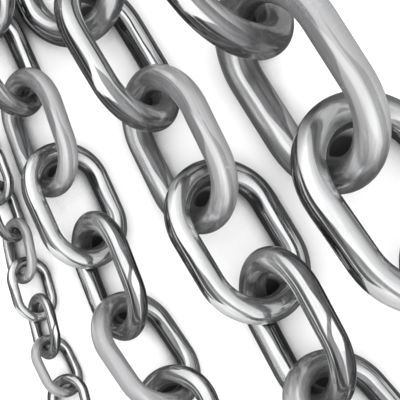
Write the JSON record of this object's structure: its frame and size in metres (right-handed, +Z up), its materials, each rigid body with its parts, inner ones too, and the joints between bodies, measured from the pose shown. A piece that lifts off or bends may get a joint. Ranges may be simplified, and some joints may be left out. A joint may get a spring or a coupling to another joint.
{
  "type": "heap of cut lengths of chain",
  "caption": "Loose heap of bright steel link chain: straight cut lengths in graded wire sizes, lying side by side and slightly fanned, links leaning left and right in turn.",
  "frame": {"origin": "on the floor under the middle of the heap's outline", "axes": "+Z up; the lengths run from -X +Y towards +X -Y, the thinnest wire on the -X side and the thickest on the +X side"},
  "size_m": [0.5234, 0.4662, 0.0935],
  "materials": {
    "steel_6mm": "bright polished steel",
    "steel_12mm": "bright polished steel",
    "steel_16mm": "bright polished steel",
    "steel_22mm": "bright polished steel"
  },
  "bodies": {
    "root": {"link_06mm_01": "steel_6mm", "link_06mm_02": "steel_6mm", "link_06mm_03": "steel_6mm", "link_06mm_04": "steel_6mm", "link_06mm_05": "steel_6mm", "link_06mm_06": "steel_6mm", "link_06mm_07": "steel_6mm", "link_06mm_08": "steel_6mm", "link_06mm_09": "steel_6mm", "link_06mm_10": "steel_6mm", "link_06mm_11": "steel_6mm", "link_06mm_12": "steel_6mm", "link_06mm_13": "steel_6mm", "link_06mm_14": "steel_6mm", "link_06mm_15": "steel_6mm", "link_06mm_16": "steel_6mm", "link_06mm_17": "steel_6mm", "link_06mm_18": "steel_6mm", "link_06mm_19": "steel_6mm", "link_12mm_01": "steel_12mm", "link_12mm_02": "steel_12mm", "link_12mm_03": "steel_12mm", "link_12mm_04": "steel_12mm", "link_12mm_05": "steel_12mm", "link_12mm_06": "steel_12mm", "link_12mm_07": "steel_12mm", "link_12mm_08": "steel_12mm", "link_12mm_09": "steel_12mm", "link_16mm_01": "steel_16mm", "link_16mm_02": "steel_16mm", "link_16mm_03": "steel_16mm", "link_16mm_04": "steel_16mm", "link_16mm_05": "steel_16mm", "link_16mm_06": "steel_16mm", "link_16mm_07": "steel_16mm", "link_22mm_01": "steel_22mm", "link_22mm_02": "steel_22mm", "link_22mm_03": "steel_22mm", "link_22mm_04": "steel_22mm", "link_22mm_05": "steel_22mm"}
  },
  "joints": []
}
